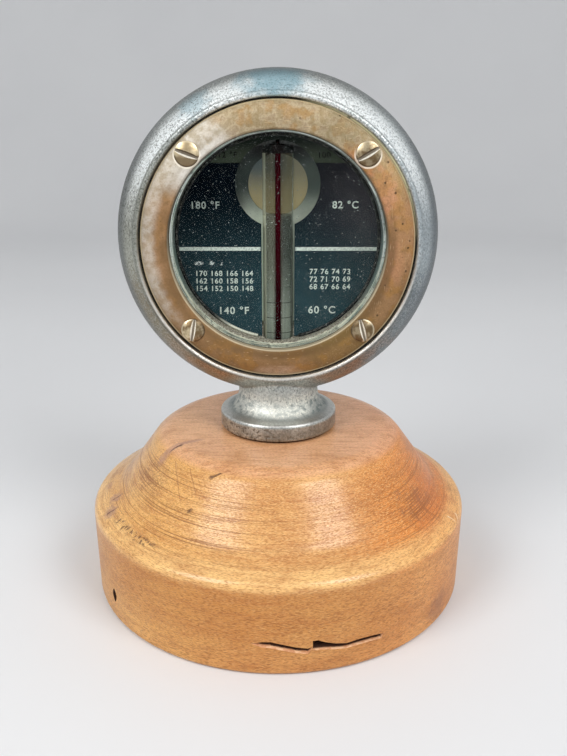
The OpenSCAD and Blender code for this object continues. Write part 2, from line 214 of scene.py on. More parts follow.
class Finish:
    """One material, with lengths in mm from the object's own origin and a colour built up in washes."""

    def __init__(self, name):
        self.material = bpy.data.materials.new(name)
        self.material.use_nodes = True
        self.tree = self.material.node_tree
        self.tree.nodes.clear()
        self.colour = None
        self.place = self.vector("SCALE", self.node("ShaderNodeTexCoord", output="Object"), 1 / MM)
        self.x, self.y, self.z = (self.node("ShaderNodeSeparateXYZ", inputs={0: self.place}, output=i)
                                  for i in range(3))

    def node(self, kind, settings=None, inputs=None, output=0):
        """Adds a node, makes its settings, then fills or links its sockets."""
        node = self.tree.nodes.new(kind)
        for name, value in (settings or {}).items():
            setattr(node, name, value)
        for key, value in (inputs or {}).items():
            if isinstance(value, Socket):
                self.tree.links.new(value.link, node.inputs[key])
            else:
                node.inputs[key].default_value = value
        return Socket(self, node.outputs[output])

    def maths(self, operation, first, second=None):
        inputs = {0: first} if second is None else {0: first, 1: second}
        return self.node("ShaderNodeMath", {"operation": operation}, inputs)

    def vector(self, operation, first, second=None):
        """A sum on vectors; lengths, distances and dot products come out as numbers."""
        key = "Scale" if operation == "SCALE" else 1
        inputs = {0: first} if second is None else {0: first, key: second}
        output = "Value" if operation in ("LENGTH", "DISTANCE", "DOT_PRODUCT") else 0
        return self.node("ShaderNodeVectorMath", {"operation": operation}, inputs, output)

    def fade(self, value, low, high):
        """0 at low, 1 at high, smooth between."""
        return self.node("ShaderNodeMapRange", {"interpolation_type": "SMOOTHSTEP"},
                         {"Value": value, "From Min": low, "From Max": high})

    def fall(self, value, start, end):
        """1 at start, 0 at end, smooth between."""
        return 1 - self.fade(value, start, end)

    def mix(self, share, first, second):
        """The first colour where share is 0, the second where it is 1; three numbers are a screen's tone."""
        first, second = (c if isinstance(c, Socket) else tone(*c) for c in (first, second))
        return self.node("ShaderNodeMix", {"data_type": "RGBA"}, {0: share, 6: first, 7: second}, 2)

    def wash(self, share, tint):
        """Lays a tint over the colour so far, all of it where share is 1."""
        self.colour = self.mix(share, self.colour, tint)

    def noise(self, grain, seed=0, detail=3, stretch=(1, 1, 1), place=None):
        """Cloudy values about 0.5, with lumps of a size in mm that may be stretched."""
        scale = [1 / (grain * s) for s in stretch]
        mapped = self.node("ShaderNodeMapping", None,
                           {0: place or self.place, "Location": (seed, seed / 2, -seed), "Scale": scale})
        return self.node("ShaderNodeTexNoise", None, {"Vector": mapped, "Scale": 1, "Detail": detail})

    def specks(self, spacing, size, seed):
        """1 on small round specks, strewn through space about a spacing apart."""
        mapped = self.node("ShaderNodeMapping", None, {0: self.place, "Location": (seed, seed, seed),
                                                       "Scale": [1 / spacing] * 3})
        away = self.node("ShaderNodeTexVoronoi", None, {"Vector": mapped, "Scale": 1}, "Distance")
        return self.fall(away, 0.5 * size / spacing, size / spacing)

    def near(self, point, reach, stretch=(1, 1, 1), ragged=0.0):
        """1 about a point in mm, 0 beyond a reach that may be stretched along the axes and ragged."""
        offset = self.vector("SUBTRACT", self.place, point)
        away = self.vector("LENGTH", self.vector("MULTIPLY", offset, [1 / s for s in stretch]))
        if ragged:
            away = away + (self.noise(reach / 3) - 0.5) * (2 * ragged * reach)
        return self.fall(away, 0.3 * reach, reach)

    def streak(self, start, end, width, taper=0.0):
        """1 along a straight mark on the base between two points in mm, 0 beyond a width that may taper."""
        start, end = Vector(start), Vector(end)
        middle = (start + end) / 2
        out = Vector((middle.x, middle.y, middle.xy.length)).normalized()
        way = end - start
        way -= out * way.dot(out)
        long = way.length
        way.normalize()
        offset = self.vector("SUBTRACT", self.place, start)
        rise = self.vector("DOT_PRODUCT", offset, out * 0.9)
        flat = self.vector("SUBTRACT", offset, self.vector("SCALE", out, rise))
        along = self.vector("DOT_PRODUCT", flat, way)
        along = self.node("ShaderNodeClamp", None, {"Value": along, "Min": 0, "Max": long})
        away = self.vector("DISTANCE", flat, self.vector("SCALE", way, along))
        away = away * (1 + along * (taper / long)) + (self.noise(width) - 0.5) * width
        return self.fall(away, 0.2 * width, width)

    def length(self, across, along):
        """Distance from an axis, from two coordinates square to it."""
        return self.vector("LENGTH", self.node("ShaderNodeCombineXYZ", None, {0: across, 1: along}))

    def bump(self, height, normal=None):
        """Normals from a height in mm."""
        inputs = {"Height": height, "Distance": MM}
        if normal:
            inputs["Normal"] = normal
        return self.node("ShaderNodeBump", None, inputs)

    def surface(self, **inputs):
        """A Principled shader; its sockets are named in small letters."""
        named = {key.replace("_", " ").title().replace("Ior", "IOR"): value for key, value in inputs.items()}
        return self.node("ShaderNodeBsdfPrincipled", None, named)

    def blend(self, share, first, second):
        return self.node("ShaderNodeMixShader", None, {0: share, 1: first, 2: second})

    def done(self, shader):
        output = self.tree.nodes.new("ShaderNodeOutputMaterial")
        self.tree.links.new(shader.link, output.inputs["Surface"])
        return self.material

    def painted(self, **inputs):
        """The finished material, one Principled shader in the colour that was built up."""
        return self.done(self.surface(base_color=self.colour, **inputs))


def tone(red, green, blue):
    """A colour as a screen shows it, 0 to 255, in the linear form that shaders take."""
    def linear(level):
        share = level / 255
        return share / 12.92 if share <= 0.04045 else ((share + 0.055) / 1.055) ** 2.4
    return (linear(red), linear(green), linear(blue), 1)


def varnished_beech():
    """Beech turned on a lathe and varnished: flecks and lathe lines run round it, with a few knocks."""
    f = Finish("varnished_beech")
    radius = f.length(f.x, f.y)
    turn = f.maths("ARCTAN2", f.x, 0 - f.y)
    round_place = f.node("ShaderNodeCombineXYZ", None, {0: turn * COVE_R, 1: radius, 2: f.z})
    deck = f.fade(f.z, BASE_H - 2.2, BASE_H - 0.6)
    side = f.fall(f.z, SHOULDER_Z - 3, SHOULDER_Z)
    shoulder_highlight = f.near((0, 0, SHOULDER_Z + 0.5), 2.6, (100, 100, 1))

    def grained(grain, long, detail, seed):
        """Marks that run round the side and the cove, and straight across the deck."""
        around = f.noise(grain, seed, detail, (long, 1, 1), round_place)
        across = f.noise(grain, seed + 20, detail, (long, 1, 1))
        return around + (across - around) * deck

    cloud = f.noise(16, 3, 2, (2, 1, 1))
    figure = grained(1.0, 7, 3, 7)
    flecks = f.fade(grained(0.16, 5, 1, 2), 0.50, 0.63)
    pale_flecks = f.fade(grained(0.17, 5, 1, 11), 0.50, 0.68)
    f.colour = f.mix(f.fade(cloud, 0.3, 0.7), (213, 150, 86), (235, 180, 112))
    f.wash(f.fall(f.x, -38, 4) * 0.55, (250, 194, 108))
    f.wash(f.fade(f.x, 10, 42) * (0.78 - 0.5 * side), (240, 132, 24))
    f.wash(deck * 0.6, (244, 186, 152))
    # Painted shade: the side is darker than the top, less so near the bottom and on the right
    side_shade = side * (0.4 + 0.6 * f.fade(f.z, 3, 13)) * (1 - 0.85 * f.fade(f.x, 10, 42))
    f.wash(side_shade * 0.65, (186, 116, 42))
    # Painted highlight along the rounded shoulder
    f.wash(shoulder_highlight * 0.7, (255, 208, 136))
    f.wash(f.fade(f.noise(4, 13, 3, (2, 2, 1)), 0.45, 0.7) * 0.35, (178, 110, 50))
    f.wash(f.fade(figure, 0.40, 0.75) * 0.5, (182, 112, 54))
    f.wash(pale_flecks * (0.4 - 0.22 * side), (255, 212, 146))
    f.wash(flecks * (0.5 + 0.1 * side), (140, 82, 36))

    # Lathe lines lie deepest in the cove and on the left
    lines = f.noise(0.28, 5, 2, (200, 1, 1), round_place)
    cove = f.fade(f.z, COVE_Z - 4, COVE_Z) * f.fall(f.z, COVE_Z + 9, COVE_Z + 15)
    left = 0.3 + 0.7 * (1 - f.fade(f.x, -26, 8) * (1 - f.fade(f.x, 20, 36) * 0.6))
    scored = f.fade(lines, 0.565, 0.60) * cove * left
    f.wash(scored * 0.6, (118, 66, 30))

    # Knocks and stains, by place
    torn = f.fade(f.noise(0.5, 17), 0.36, 0.60)
    bruise = (f.streak((-30.2, -17.8, 41.2), (-20.6, -12.6, 44.2), 2.7, taper=1.4)
              | f.near((-44.6, -19.2, 26.3), 3.4, (0.8, 1.2, 0.9), 0.6)
              | f.near((-44.6, -13.6, 27.2), 3.0, (0.8, 1.1, 1), 0.6)
              | f.near((-48.2, -4.4, 26.2), 2.6, (0.7, 1.2, 1), 0.6) * 0.7)
    nicks = (f.streak((-25.4, -15.9, 43.7), (-28.4, -17.6, 42.6), 0.6, taper=1)
             | f.streak((-16.4, -30.4, 41.4), (-14.0, -30.4, 42.5), 0.9, taper=3)
             | f.streak((-21.9, -33.7, 33.8), (-21.3, -33.8, 34.2), 0.75, taper=0.3)
             | f.streak((-45.2, -19.7, 25.7), (-42.8, -18.8, 27.0), 0.55, taper=1.5) * 0.9
             | f.streak((-44.8, -14.0, 26.9), (-42.6, -13.2, 28.3), 0.45, taper=1.5) * 0.8)
    chip_ring = f.fall(abs(radius - CHIP_R), 0.5, 1.3) * f.fade(f.z, SHOULDER_Z, SHOULDER_Z + 0.5)
    chipped = f.fade(turn, CHIP_START, CHIP_START + 0.1) * f.fall(turn, CHIP_END, CHIP_END + 0.1)
    chips = chip_ring * chipped * f.fade(f.noise(0.75, 9, 2, (1, 1.6, 1), round_place), 0.54, 0.61)
    nicks = nicks * (0.6 + 0.4 * torn) | chips * 0.8
    hatch = f.near((-33, -19, 36), 9, (1, 1.1, 0.6), 0.5) * f.fade(lines + torn * 0.2, 0.48, 0.66)
    scratches = (f.streak((-26.2, -21.8, 41.9), (-23.9, -31.9, 34.1), 0.22)
                 | f.streak((-22.1, -25.9, 41.9), (-20.1, -31.8, 37.3), 0.22)
                 | f.streak((-14.2, -30.4, 42.4), (-11.7, -30.2, 43.1), 0.22))
    cross = f.fade(f.noise(0.4, 31, 1, (1, 30, 30), round_place), 0.54, 0.60) | f.fade(lines, 0.5, 0.56)
    cross = cross * f.near((37, -22, 29.5), 11, (1, 1, 0.6), 0.6)
    pale_nicks = (f.streak((45.0, -21.0, 25.5), (46.8, -21.6, 24.4), 0.5, taper=1)
                  | f.streak((47.6, -18.2, 24.9), (47.9, -20.6, 23.2), 0.5, taper=1))
    spots = f.near((30.7, -25.3, 34.3), 1.8, ragged=0.9) | f.near((31.8, -28.1, 30.6), 1.6, ragged=0.9)
    low_stain = f.near((41.5, -31, 5), 6, (0.8, 1, 1), 0.7)
    red = f.near((42, -20, 29), 20, (0.6, 1, 0.4), 0.7)
    f.wash(red * 0.35, (192, 104, 58))
    f.wash(hatch * 0.6, (136, 84, 44))
    f.wash(bruise * (0.35 + 0.35 * torn), (186, 142, 124))
    f.wash((spots * torn | low_stain) * 0.45, (130, 82, 60))
    f.wash(scratches * 0.45 | cross * 0.6, (146, 88, 46))
    f.wash(pale_nicks * 0.8, (255, 222, 176))
    f.wash(nicks * 0.85, (88, 52, 32))
    under = f.fall(f.z, 0.05, 0.3)
    f.wash(under * 0.7, (176, 126, 82))

    height = lines * cove * (0.3 + 0.7 * left) * 0.10 + figure * 0.03 - flecks * 0.02
    height = height - nicks * 0.35 - bruise * torn * 0.15 - scratches * 0.05 - pale_nicks * 0.15
    rough = 0.34 + 0.10 * figure + 0.20 * bruise
    gloss = (0.78 - 0.6 * side) * (1 - 0.6 * f.fade(f.x, 24, 42)) * (1 - 0.7 * flecks)
    gloss = gloss * (1 - 0.6 * f.fade(lines, 0.5, 0.58) * cove)
    return f.painted(roughness=rough, coat_weight=gloss, coat_roughness=0.21, specular_ior_level=0.35,
                     normal=f.bump(height))


def split_wood():
    """Bare wood in the splits: torn and pale along the lower lips, dark inside as painted shade."""
    f = Finish("split_wood")
    torn = f.noise(0.6, 5, 3, (2, 2, 1))
    depth = BASE_R - f.length(f.x, f.y) + (torn - 0.5) * 0.6
    depth = depth + 0.15 + 0.2 * f.fade(f.x, 6, 9) * (1 - 0.5 * f.fade(f.x, 11, 14))
    lip = f.fall(depth, 0.9, 1.4) * f.fade(f.x, -30, -20)
    pale = f.mix(f.fade(torn, 0.35, 0.65), (216, 154, 110), (246, 198, 154))
    # Painted shade deeper in the split; bare pale wood on the lower lip
    f.colour = f.mix(lip, (66, 38, 22), pale)
    return f.painted(roughness=0.7 + 0.2 * torn, normal=f.bump(torn * 0.2))


def slot_brass():
    """Slots of the screws: a painted highlight on walls that face up, painted shade on walls that face down
    and on the floor.
    """
    f = Finish("slot_brass")
    fine = f.noise(0.4, 2)
    # Painted shade on the slot's floor
    floor = f.fall(abs(f.y), SLOT_FLOOR + 0.05, SLOT_FLOOR + 0.25)
    normal = f.node("ShaderNodeTexCoord", output="Normal")
    up = f.node("ShaderNodeSeparateXYZ", inputs={0: normal}, output=2)
    # Painted highlight on walls that face up, painted shade on those that face down
    wall = f.mix(f.fade(up, -0.7, 0), (78, 62, 42), (255, 250, 236))
    wall = f.mix(f.fade(fine, 0.5, 0.7) * 0.4, wall, (150, 130, 96))
    f.colour = f.mix(floor * 0.85, wall, (100, 84, 60))
    return f.painted(metallic=0.2, roughness=0.4 + 0.2 * fine)


def pitted_nickel():
    """Cast metal under thin plate: blue-green and pitted above, brown or blue-grey low down; painted
    highlights above, painted shade low down and at the edges.
    """
    f = Finish("pitted_nickel")
    high = f.z - CENTRE_Z
    radius = f.length(f.x, high)

    def over_foot(start, end):
        """0 below a height over the foot's underside, 1 above another."""
        return f.fade(f.z, FOOT_Z + start, FOOT_Z + end)

    mottle = f.noise(0.5, 1, 4)
    cloud = f.noise(6, 4)
    on_ring = over_foot(9, 13)
    upper = f.fade(high, 4, 26)
    left = f.fall(f.x, -24, 8)
    lip = f.fall(radius, LIP_R - 0.2, LIP_R + 0.3)
    f.colour = f.mix(f.fade(mottle, 0.34, 0.66), (146, 151, 148), (206, 210, 206))
    f.wash(f.fade(cloud, 0.35, 0.7) * 0.4, (160, 168, 168))
    f.wash(left * on_ring * f.fall(high, 14, 28) * 0.4, (178, 174, 150))
    f.wash(f.fade(f.x, 14, 36) * on_ring * 0.35, (180, 196, 210))

    # Painted highlights: the ring is brightest beside the lip and in specks higher up; it is blue-green at
    # the top
    band = (1 - lip) * f.fall(radius, LIP_R + 2.0, LIP_R + 4.8) * f.fade(high, 2, 20) * on_ring
    band = band | lip * f.fade(high, 29, 34) * 0.7
    f.wash(band * f.fade(mottle, 0.2, 0.6) * 0.9, (250, 255, 255))
    bright = f.fade(f.noise(0.42, 9, 2), 0.55, 0.62)
    f.wash(upper * bright * 0.7, (250, 252, 250))
    crown = f.near((-1, -8, CENTRE_Z + 38.6), 11.5, (1, 1, 0.75), 0.5)
    crown = crown | f.near((-20, -9, CENTRE_Z + 33), 6, ragged=0.5) * 0.6
    f.wash(crown * 0.8, (126, 170, 184))

    # Painted shade: darker low on the sides, along the flanks, at the outer edge and on the lip low down;
    # brown towards the bottom, and the lip darker where worn on the left
    low = f.fade(0 - high, 1, 15) * f.fade(abs(f.x), 8, 20) * on_ring
    low_shade_tone = f.mix(left, (84, 92, 98), (124, 108, 80))
    low_shade_tone = f.mix(f.fade(mottle, 0.44, 0.60) * 0.45, low_shade_tone, (166, 170, 168))
    f.wash(low * 0.75, low_shade_tone)
    low_ring = f.fade(0 - high, 16, 34) * f.fade(abs(f.y), 3, 9) * f.fade(abs(f.x), 5, 15) * on_ring
    brown = f.mix(f.fade(mottle, 0.4, 0.6), (140, 108, 84), (204, 166, 134))
    f.wash(low_ring * f.fade(cloud, 0.3, 0.6) * 0.6, brown)
    flank_shade = f.fade(radius, LIP_R + 1.6, LIP_R + 3.8) * f.fade(abs(f.x), 26, 37) * on_ring
    f.wash(flank_shade * 0.6, (84, 92, 98))
    # Painted shade at the ring's outer edge
    dull = f.fall(abs(f.y), 2, 10) * f.fade(radius, LIP_R + 1.1, LIP_R + 4.1) * on_ring
    f.wash(dull * 0.7, (84, 88, 86))
    worn_lip = lip * f.fade(radius, BEZEL_R - 0.5, BEZEL_R) * f.fall(f.x, -28, -12) * on_ring
    f.wash((worn_lip | lip * low) * 0.45, (112, 116, 112))

    # Pits, most of them on the upper left, and the foot: painted highlight on the waist, darker sides on the
    # flare, stains, seam and pitted rim
    pitted = 0.6 + 0.4 * f.near((-28, -10, CENTRE_Z + 22), 30, (0.9, 0.9, 1), 0.3)
    pits = f.fade(f.noise(0.38, 8, 2, (1, 1, 1.3)), 0.585, 0.63) * pitted
    long_pits = f.fade(f.noise(0.4, 28, 1, (1, 1, 3)), 0.6, 0.64)
    pits = (pits | long_pits * f.near((-38, -10, CENTRE_Z + 8), 12, (0.5, 0.8, 1), 0.3)) * on_ring
    rim = 1 - over_foot(3.2, 4.0)
    rim_pits = rim * f.fade(f.noise(0.8, 6), 0.54, 0.60) * (1 - f.fade(f.x, -14, 12) * 0.6)
    waist = (1 - on_ring) * over_foot(4.6, 6)
    # Painted highlight on the waist
    f.wash(waist * (0.45 + 0.4 * bright), (246, 244, 232))
    flare = waist * (1 - over_foot(5.5, 10)) * f.fade(cloud, 0.25, 0.55)
    f.wash(flare * f.fade(abs(f.x + 1), 4, 13) * 0.55, (112, 122, 124))
    stain = waist * f.fade(f.noise(1.5, 24, 4, (1, 1, 0.8)), 0.47, 0.62)
    f.wash(stain * (0.3 + 0.3 * f.fade(abs(f.x + 1), 2, 10)), (104, 120, 120))
    seam = over_foot(4.5, 5) * (1 - over_foot(5, 6.4))
    f.wash(seam * f.fade(mottle, 0.3, 0.6) * 0.3, (112, 122, 122))
    waist_pits = waist * f.fade(f.noise(0.5, 18, 2, (1, 1, 1.4)), 0.57, 0.63)
    f.wash(waist_pits * over_foot(6, 10) * 0.55, (84, 90, 86))
    rim_tone = f.mix(f.fade(cloud, 0.44, 0.60), (182, 176, 164), (126, 120, 108))
    f.wash(rim * 0.5, rim_tone)
    f.wash(pits * 0.65, (78, 80, 74))
    f.wash(rim_pits * 0.65, (88, 76, 60))

    # Painted highlights: a thin bright line on the inner edge of the lower lip and on the edge of the foot;
    # the lip darker low on the left
    line = f.fade(radius, BEZEL_R + 0.45, BEZEL_R + 0.6) * f.fall(radius, BEZEL_R + 1.0, BEZEL_R + 1.3)
    line = line * f.fade(abs(f.y), 11.4, 11.9) * f.fade(0 - high, -4, 16)
    edge = over_foot(3.9, 4.3) * (1 - over_foot(4.7, 5.3))
    rubbed = line | edge * 0.6
    smooth = rubbed | lip * f.fade(0 - high, 0, 14) | seam * 0.7
    f.wash(lip * left * f.fade(0 - high, 10, 24) * 0.4, (104, 96, 82))
    f.wash(rubbed * 0.7, (236, 232, 224))

    # Inside: dusty low down, darker above as painted shade
    inner = f.fall(radius, BEZEL_R - 7.6, BEZEL_R - 7)
    dusty = f.mix(f.fade(mottle, 0.42, 0.60), (120, 108, 94), (206, 198, 182))
    inside = f.mix(f.fade(high, -10, 14), (98, 118, 114), (16, 20, 22))
    inside = f.mix(f.fade(0 - high, 8, 22), inside, dusty)
    f.wash(inner * 0.9, inside)

    height = (mottle - 0.5) * 0.07 * (1 - smooth) - pits * 0.12 - rim_pits * 0.10
    soft = f.node("ShaderNodeBevel", {"samples": 6}, {"Radius": 0.9 * MM})
    rough = 0.30 + 0.14 * mottle + 0.2 * pits + 0.2 * inner + waist * (0.18 + 0.1 * f.fade(f.x, -3, 3))
    return f.painted(metallic=0.9 - 0.6 * inner - 0.4 * band, roughness=rough, normal=f.bump(height, soft))


def worn_bezel_brass():
    """Tarnished brass: grey-gold above, brown below, with smooth pale plate left on the upper left."""
    f = Finish("worn_bezel_brass")
    high = f.z - CENTRE_Z
    radius = f.length(f.x, high)
    cloud = f.noise(5, 2)
    blotch = f.noise(1.8, 12)
    fine = f.noise(0.4, 9)
    f.colour = f.mix(f.fade(cloud, 0.35, 0.65), (142, 110, 74), (172, 134, 96))
    f.wash(f.fade(f.x, 12, 26) * f.fade(high, -16, -4) * 0.6, (192, 146, 104))
    grey_gold = f.mix(f.fade(blotch, 0.4, 0.6), (168, 152, 118), (200, 186, 156))
    f.wash(f.fade(high, 8, 24) * 0.85, grey_gold)
    f.wash(f.fade(0 - high, 6, 22) * 0.7, (146, 114, 76))
    gold = f.near((28, -12, CENTRE_Z + 16), 9, (0.7, 2, 1), 0.4)
    f.wash(gold * 0.5, (180, 152, 98))
    rust = f.near((19, -12, CENTRE_Z + 19), 6, (1, 2, 1), 0.6)
    f.wash(rust * 0.55, (198, 118, 58))
    pink = (f.near((26, -12, CENTRE_Z + 12), 6, (0.7, 2, 1.4), 0.6)
            | f.near((28, -12, CENTRE_Z - 5), 7, (0.6, 2, 1.2), 0.6) * 0.5)
    f.wash(pink * 0.5, (216, 152, 118))

    # Ochre stains all round, a darker inner edge low down, and a painted highlight on the outer edge at the
    # bottom
    ochre = f.fade(f.noise(3.4, 21), 0.50, 0.62)
    f.wash(ochre * (0.15 + 0.25 * f.fade(f.x, -24, -8)), (176, 128, 56))
    inner_edge = f.fall(radius, WINDOW_R + 1.4, CROWN_R + 1) * f.fall(high, -2, 12)
    f.wash(inner_edge * (0.25 + 0.4 * f.fade(f.x, -16, 4)), (96, 72, 44))
    bottom_edge_highlight = f.near((0, -12, CENTRE_Z - BEZEL_R), 9, (1, 2, 0.4), 0.4)
    f.wash(bottom_edge_highlight * 0.6, (206, 178, 154))
    olive = f.near((17, -12, CENTRE_Z - 25), 13, (1, 2, 1), 0.4)
    f.wash(olive * 0.4, (132, 112, 58))

    # Pale plate covers the upper left, and the outer edge below it; a painted highlight lies on its inner
    # edge there, and painted shade on the upper right
    ragged = (cloud - 0.5) * 10 + (blotch - 0.5) * 5
    cover = f.fall(f.length(f.x + 20, high - 22) + ragged, 6.5, 13)
    outer = f.fade(radius + ragged * 0.2, 29.2, 31.8) * f.fall(f.x + ragged, -24, -14)
    plate = cover | outer * f.fade(high + ragged, -24, -10) * 0.8
    pale = f.mix(f.fade(blotch, 0.35, 0.65), (185, 175, 157), (216, 211, 201))
    f.wash(plate * 0.8, pale)
    # Painted highlight on the inner edge of the upper left
    rubbed = f.near((-18, -12, CENTRE_Z + 20), 13, (1, 2, 1), 0.4)
    rubbed = rubbed * f.fall(radius + ragged * 0.06, 28.4, 29.4)
    f.wash(rubbed * 0.7, (232, 228, 220))
    shaded = f.near((17, -12, CENTRE_Z + 29), 9, (1, 2, 1), 0.5)
    f.wash(shaded * 0.5, (130, 122, 94))

    # Tarnish, grain, pits and scratches
    f.wash(f.fade(blotch, 0.50, 0.68) * 0.4 * (1 - plate), (124, 96, 62))
    f.wash(f.fade(fine, 0.40, 0.70) * 0.3 * (1 - plate * 0.5), (128, 98, 62))
    pits = f.specks(3.0, 0.4, 3) * f.fade(f.x, -5, 15)
    pits = pits | f.specks(1.1, 0.13, 13) * f.fade(blotch, 0.45, 0.55) * 0.7
    f.wash(pits * 0.8, (70, 50, 30))
    scratches = (f.fade(f.noise(0.14, 6, 1, (1, 1, 14)), 0.66, 0.71) * f.fade(f.x, 6, 20)
                 | f.fade(f.noise(0.14, 16, 1, (12, 1, 2)), 0.68, 0.73) * f.fade(abs(high), 14, 26))
    f.wash(scratches * 0.35, (226, 200, 160))

    # Painted highlight on the outer edge, painted light low on the window's wall and painted shade higher up,
    # with a dark line of painted shade behind the wall
    edge = f.fade(radius, BEZEL_R - 0.45, BEZEL_R - 0.15)
    edge = edge * f.fade(abs(f.y), BEZEL_SEAT + 0.9, BEZEL_SEAT + 1.2)
    f.wash(edge * 0.75, (238, 218, 176))
    wall = f.fall(radius, WINDOW_R + 0.1, WINDOW_R + 0.4)
    # A dark line of painted shade at the back of the window's wall
    dirt = wall * f.fall(abs(f.y), BEZEL_SEAT + 0.3, BEZEL_SEAT + 0.8)
    wall_light_and_shade = f.mix(f.fade(0 - high, -6, 12), (96, 96, 84), (212, 198, 168))
    f.wash(wall * 0.85, wall_light_and_shade)
    f.wash(dirt * 0.8, (60, 54, 44))
    beside, above = abs(f.x) - SCREW_RISE, high - SCREW_RISE
    sink_rim = f.fall(f.length(beside, above), SCREW_HEAD_R + 0.25, SCREW_HEAD_R + 0.55)
    f.wash(sink_rim * f.fall(above, -1, 2) * 0.7, (255, 248, 232))
    height = (fine - 0.5) * 0.03 - pits * 0.10 + (blotch - 0.5) * 0.08 - scratches * 0.03 + plate * 0.02
    rough = 0.52 + 0.18 * fine + 0.06 * blotch
    return f.painted(metallic=0.65, roughness=rough, normal=f.bump(height))


def screw_brass():
    """Screw heads: grey-gold brass, brown on the right; painted highlights on the rims, painted shade on
    lower or inner halves.
    """
    f = Finish("screw_brass")
    shade = f.noise(1.7, 5, 2)
    fine = f.noise(0.3, 7, 2)
    high = f.z - CENTRE_Z
    # Painted shade on the lower halves of the upper heads and the inner halves of the lower ones
    upper = f.fade(high, -1, 1)
    under = f.fall(abs(high) - SCREW_RISE, -1.2, 0.3)
    inward = f.fall(abs(f.x) - SCREW_RISE, -0.6, 0.6)
    dull = under * upper | inward * (1 - upper) * 0.7
    front = f.fade(abs(f.y), SCREW_FACE - 0.25, SCREW_FACE + 0.05)
    f.colour = f.mix(f.fade(shade, 0.38, 0.62), (136, 114, 82), (208, 192, 158))
    f.wash(f.fade(fine, 0.5, 0.7) * 0.3, (112, 88, 58))
    # Painted highlight on the upper-left heads
    f.wash(f.fall(f.x, -16, 0) * upper * 0.35, (240, 220, 180))
    f.wash(dull * 0.62 | f.fade(f.x, -8, 14) * (0.5 - 0.2 * upper), (84, 68, 48))
    f.wash((1 - front) * 0.65, (88, 62, 38))
    # Painted highlight on the rims, dark as painted shade where the head is shaded
    rim = front * f.fall(abs(f.y), SCREW_FACE + 0.12, SCREW_FACE + 0.3)
    f.wash(rim * 0.6, f.mix(f.fade(dull, 0.1, 0.6), (226, 212, 182), (76, 60, 42)))
    height = (fine - 0.5) * 0.02
    return f.painted(metallic=0.85, roughness=0.32 + 0.14 * fine, normal=f.bump(height))


def dusty_glass():
    """Old flat glass: clear, with a few specks and threads of dust."""
    f = Finish("dusty_glass")
    patch = f.noise(3, 3, 2)
    dust = f.specks(1.2, 0.14, 2) * f.fade(patch, 0.38, 0.52)
    scuff = (f.near((-19.9, -9, CENTRE_Z - 5.1), 1.6, (1, 10, 0.26), 0.3)
             | f.near((-16.7, -9, CENTRE_Z - 5.2), 1.2, (0.7, 10, 0.6), 0.3)
             | f.near((-14.2, -9, CENTRE_Z - 5.3), 0.5, (1, 10, 0.7)))
    dust = dust | f.specks(0.8, 0.1, 9) * f.fade(patch, 0.56, 0.4) * 0.5
    dust = dust | scuff * f.fade(f.noise(0.3, 33, 2, (1.5, 1, 1)), 0.46, 0.54)
    for seed, stretch in ((12, (1, 1, 6)), (22, (6, 1, 1))):
        dust = dust | f.fade(f.noise(0.16, seed, 1, stretch), 0.76, 0.80)
    haze = f.fade(f.noise(9, 8), 0.3, 0.7) * f.fade(f.x, 2, 16) * 0.012
    clear = f.node("ShaderNodeBsdfTransparent", None, {"Color": (0.98, 0.99, 0.98, 1)})
    gloss = f.surface(base_color=(1, 1, 1, 1), metallic=1.0, roughness=0.04)
    powder = f.surface(base_color=tone(196, 206, 202), roughness=0.9)
    glass = f.blend(0.05 * f.node("ShaderNodeFresnel", None, {"IOR": 1.5}), clear, gloss)
    return f.done(f.blend(dust * 0.7 + haze, glass, powder))


